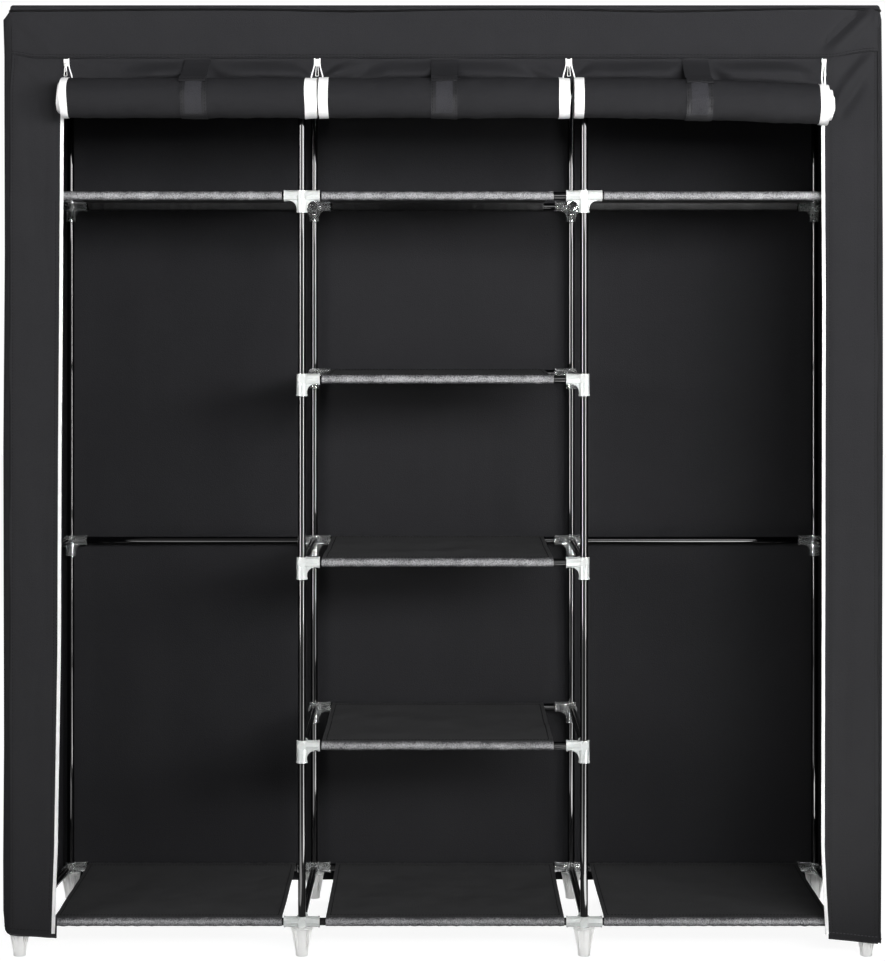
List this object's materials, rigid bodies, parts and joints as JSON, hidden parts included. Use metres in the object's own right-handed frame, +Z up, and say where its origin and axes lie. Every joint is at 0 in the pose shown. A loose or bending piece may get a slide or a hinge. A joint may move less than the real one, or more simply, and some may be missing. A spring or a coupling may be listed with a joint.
{
  "type": "portable fabric wardrobe",
  "caption": "Free-standing wardrobe: a push-fit tube frame with fabric shelves under a fabric cover whose front doors roll up and close with zips.",
  "frame": {"origin": "on the floor, under the middle of the whole wardrobe with its doors rolled up", "axes": "+X to the wardrobe's right as seen from its front, +Y to its back, +Z up"},
  "size_m": [1.555, 0.5476, 1.688],
  "materials": {
    "black_enamel": "gloss",
    "frame_plastic": "gloss",
    "white_plastic": "satin",
    "shelf_fabric": "matte",
    "cover_fabric": "matte",
    "strap_fabric": "matte",
    "zip_tape": "matte",
    "zip_metal": "gloss"
  },
  "bodies": {
    "wardrobe": {"upright_front_1": "black_enamel", "foot_front_1": "white_plastic", "upright_front_2": "black_enamel", "foot_front_2": "white_plastic", "upright_front_3": "black_enamel", "foot_front_3": "white_plastic", "upright_front_4": "black_enamel", "foot_front_4": "white_plastic", "upright_rear_1": "black_enamel", "foot_rear_1": "white_plastic", "upright_rear_2": "black_enamel", "foot_rear_2": "white_plastic", "upright_rear_3": "black_enamel", "foot_rear_3": "white_plastic", "upright_rear_4": "black_enamel", "foot_rear_4": "white_plastic", "bottom_frame": "frame_plastic", "shelf_frame_1": "frame_plastic", "mid_frame_2": "frame_plastic", "shelf_frame_3": "frame_plastic", "upper_frame_4": "frame_plastic", "top_frame_5": "frame_plastic", "shelf_bottom_left": "shelf_fabric", "shelf_bottom_center": "shelf_fabric", "shelf_bottom_right": "shelf_fabric", "shelf_center_1": "shelf_fabric", "shelf_center_2": "shelf_fabric", "shelf_center_3": "shelf_fabric", "shelf_upper_left": "shelf_fabric", "shelf_upper_center": "shelf_fabric", "shelf_upper_right": "shelf_fabric", "cover_back": "cover_fabric", "cover_left_side": "cover_fabric", "cover_right_side": "cover_fabric", "cover_top": "cover_fabric", "cover_valance": "cover_fabric", "cover_front_strip_left": "cover_fabric", "cover_front_strip_right": "cover_fabric", "zipper_tape_left": "zip_tape", "zipper_tape_right": "zip_tape", "door_curtain_left": "cover_fabric", "roll_strap_left": "strap_fabric", "strap_flap_left": "strap_fabric", "door_curtain_center": "cover_fabric", "roll_strap_center": "strap_fabric", "strap_flap_center": "strap_fabric", "door_curtain_right": "cover_fabric", "roll_strap_right": "strap_fabric", "strap_flap_right": "strap_fabric"},
    "door_left": {"door_roll_left": "cover_fabric"},
    "door_center": {"door_roll_center": "cover_fabric"},
    "door_right": {"door_roll_right": "cover_fabric"},
    "slider_1": {"zipper_slider_1": "zip_metal"},
    "pull_1": {"zipper_pull_1": "zip_metal"},
    "slider_2": {"zipper_slider_2": "zip_metal"},
    "pull_2": {"zipper_pull_2": "zip_metal"},
    "slider_3": {"zipper_slider_3": "zip_metal"},
    "pull_3": {"zipper_pull_3": "zip_metal"},
    "slider_4": {"zipper_slider_4": "zip_metal"},
    "pull_4": {"zipper_pull_4": "zip_metal"}
  },
  "joints": [
    {"name": "door_left_unroll", "type": "slide", "parent": "wardrobe", "child": "door_left", "axis": [0, 0, 1], "range_m": [-1.45, 0], "deforming": ["door_curtain_left", "roll_strap_left", "strap_flap_left"]},
    {"name": "door_center_unroll", "type": "slide", "parent": "wardrobe", "child": "door_center", "axis": [0, 0, 1], "range_m": [-1.45, 0], "deforming": ["door_curtain_center", "roll_strap_center", "strap_flap_center"]},
    {"name": "door_right_unroll", "type": "slide", "parent": "wardrobe", "child": "door_right", "axis": [0, 0, 1], "range_m": [-1.45, 0], "deforming": ["door_curtain_right", "roll_strap_right", "strap_flap_right"]},
    {"name": "slider_1_zip", "type": "slide", "parent": "wardrobe", "child": "slider_1", "axis": [0, 0, 1], "range_m": [-1.53, 0]},
    {"name": "slider_2_zip", "type": "slide", "parent": "wardrobe", "child": "slider_2", "axis": [0, 0, 1], "range_m": [-1.53, 0]},
    {"name": "slider_3_zip", "type": "slide", "parent": "wardrobe", "child": "slider_3", "axis": [0, 0, 1], "range_m": [-1.53, 0]},
    {"name": "slider_4_zip", "type": "slide", "parent": "wardrobe", "child": "slider_4", "axis": [0, 0, 1], "range_m": [-1.53, 0]},
    {"name": "pull_1_swing", "type": "hinge", "parent": "slider_1", "child": "pull_1", "pos_m": [-0.667, -0.1953, 1.5847], "axis": [-1, 0, 0], "range_deg": [0, 150]},
    {"name": "pull_2_swing", "type": "hinge", "parent": "slider_2", "child": "pull_2", "pos_m": [-0.2225, -0.1953, 1.5847], "axis": [-1, 0, 0], "range_deg": [0, 150]},
    {"name": "pull_3_swing", "type": "hinge", "parent": "slider_3", "child": "pull_3", "pos_m": [0.2225, -0.1953, 1.5847], "axis": [-1, 0, 0], "range_deg": [0, 150]},
    {"name": "pull_4_swing", "type": "hinge", "parent": "slider_4", "child": "pull_4", "pos_m": [0.674, -0.1953, 1.5847], "axis": [-1, 0, 0], "range_deg": [0, 150]}
  ]
}
